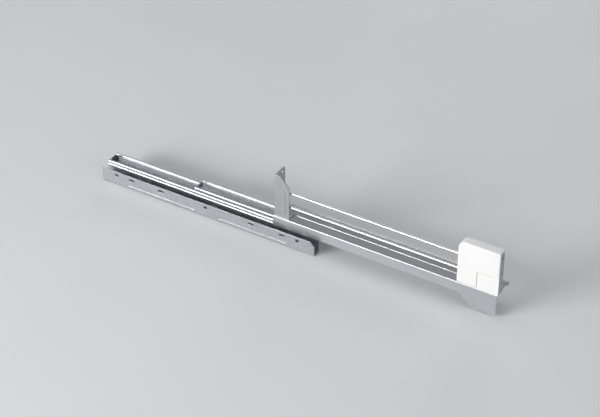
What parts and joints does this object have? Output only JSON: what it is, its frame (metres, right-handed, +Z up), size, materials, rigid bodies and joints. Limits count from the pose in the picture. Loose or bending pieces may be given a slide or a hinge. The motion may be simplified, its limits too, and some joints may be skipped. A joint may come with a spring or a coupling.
{
  "type": "cabinet drawer slide",
  "caption": "Left-hand ball-bearing drawer slide with telescoping rails, grey side channel and ledge, chrome gallery rods, white-covered front bracket and soft-close unit.",
  "frame": {"origin": "middle hole of the row of wall fixing holes, on the face of the mounting profile that lies on the cabinet side", "axes": "+X the way the drawer pulls out, +Y from the cabinet side towards the drawer, +Z up"},
  "size_m": [0.804, 0.063, 0.1365],
  "materials": {
    "zinc_steel": "bright zinc-plated roll-formed steel, faint rolling lines",
    "bracket_steel": "pressed zinc-plated steel, satin",
    "rivet_steel": "turned steel, satin",
    "silver_paint": "silver-grey powder coat, semi-gloss",
    "ledge_steel": "bright reflective steel",
    "trim_aluminium": "dull satin anodised",
    "chrome": "bright chrome plate",
    "white_plastic": "moulded white plastic, semi-gloss, very fine grain",
    "grey_plastic": "moulded grey nylon, fine grain",
    "pale_plastic": "moulded acetal, smooth",
    "buffer_rubber": "black elastomer",
    "bearing_steel": "polished balls with a film of grease",
    "spring_steel": "drawn wire",
    "damper_aluminium": "drawn tube, satin",
    "polished_rod": "ground and polished",
    "zamak": "die-cast zinc, satin"
  },
  "bodies": {
    "cabinet": {"cabinet_angle": "zinc_steel", "cabinet_rail": "zinc_steel", "cabinet_rail_rivets": "rivet_steel", "cabinet_front_stop": "grey_plastic", "cabinet_rear_stop": "buffer_rubber", "soft_close_housing": "grey_plastic", "soft_close_screws": "rivet_steel", "damper_cylinder": "damper_aluminium", "closing_spring": "spring_steel"},
    "catch_carriage": {"catch_carriage": "grey_plastic", "damper_rod": "polished_rod"},
    "catch_pawl": {"catch_pawl": "pale_plastic"},
    "lower_cage": {"lower_ball_cage": "grey_plastic", "lower_balls": "bearing_steel"},
    "intermediate": {"intermediate_lower_rail": "zinc_steel", "intermediate_upper_rail": "zinc_steel", "intermediate_rivets": "rivet_steel", "intermediate_front_stop": "grey_plastic", "intermediate_rear_stop": "grey_plastic"},
    "upper_cage": {"upper_ball_cage": "grey_plastic", "upper_balls": "bearing_steel"},
    "drawer_side": {"drawer_rail": "zinc_steel", "side_channel": "silver_paint", "base_ledge": "ledge_steel", "ledge_edge_trim": "trim_aluminium", "channel_studs": "rivet_steel", "ledge_studs": "rivet_steel", "front_bracket_rivets": "rivet_steel", "rear_bracket_rivet": "rivet_steel", "gallery_rod_lower": "chrome", "gallery_rod_upper": "chrome", "front_rod_sockets": "bracket_steel", "rear_rod_sockets": "bracket_steel", "front_bracket": "bracket_steel", "adjuster_retainer": "bracket_steel", "cover_outer": "white_plastic", "cover_inner": "white_plastic", "rear_bracket": "bracket_steel", "catch_trip": "bracket_steel", "trip_rivets": "rivet_steel"},
    "cover_cap": {"cover_cap": "white_plastic"},
    "height_adjuster": {"height_adjuster": "zamak"},
    "tilt_adjuster": {"tilt_adjuster": "zamak"}
  },
  "joints": [
    {"name": "intermediate_slide", "type": "slide", "parent": "cabinet", "child": "intermediate", "axis": [1, 0, 0], "range_m": [-0.175, 0.05]},
    {"name": "drawer_slide", "type": "slide", "parent": "intermediate", "child": "drawer_side", "axis": [1, 0, 0], "range_m": [-0.175, 0.05]},
    {"name": "lower_cage_roll", "type": "slide", "parent": "cabinet", "child": "lower_cage", "axis": [1, 0, 0], "range_m": [-0.0875, 0.025]},
    {"name": "upper_cage_roll", "type": "slide", "parent": "intermediate", "child": "upper_cage", "axis": [1, 0, 0], "range_m": [-0.0875, 0.025]},
    {"name": "catch_slide", "type": "slide", "parent": "cabinet", "child": "catch_carriage", "axis": [1, 0, 0], "range_m": [-0.04, 0], "deforming": ["closing_spring"]},
    {"name": "catch_tilt", "type": "hinge", "parent": "catch_carriage", "child": "catch_pawl", "pos_m": [-0.136, 0.0434, -0.005], "axis": [0, 1, 0], "range_deg": [0, 20]},
    {"name": "height_adjust", "type": "hinge", "parent": "drawer_side", "child": "height_adjuster", "pos_m": [0.55, 0.02, 0.047], "axis": [0, 1, 0], "range_deg": [-90, 90]},
    {"name": "tilt_adjust", "type": "hinge", "parent": "drawer_side", "child": "tilt_adjuster", "pos_m": [0.568, 0.02, 0.047], "axis": [0, 1, 0], "range_deg": [-90, 90]},
    {"name": "cap_pull", "type": "slide", "parent": "drawer_side", "child": "cover_cap", "axis": [0, -1, 0], "range_m": [0, 0.012]}
  ],
  "couplings": [
    {"joint": "lower_cage_roll", "follows": "intermediate_slide", "ratio": 0.5},
    {"joint": "upper_cage_roll", "follows": "drawer_slide", "ratio": 0.5}
  ]
}
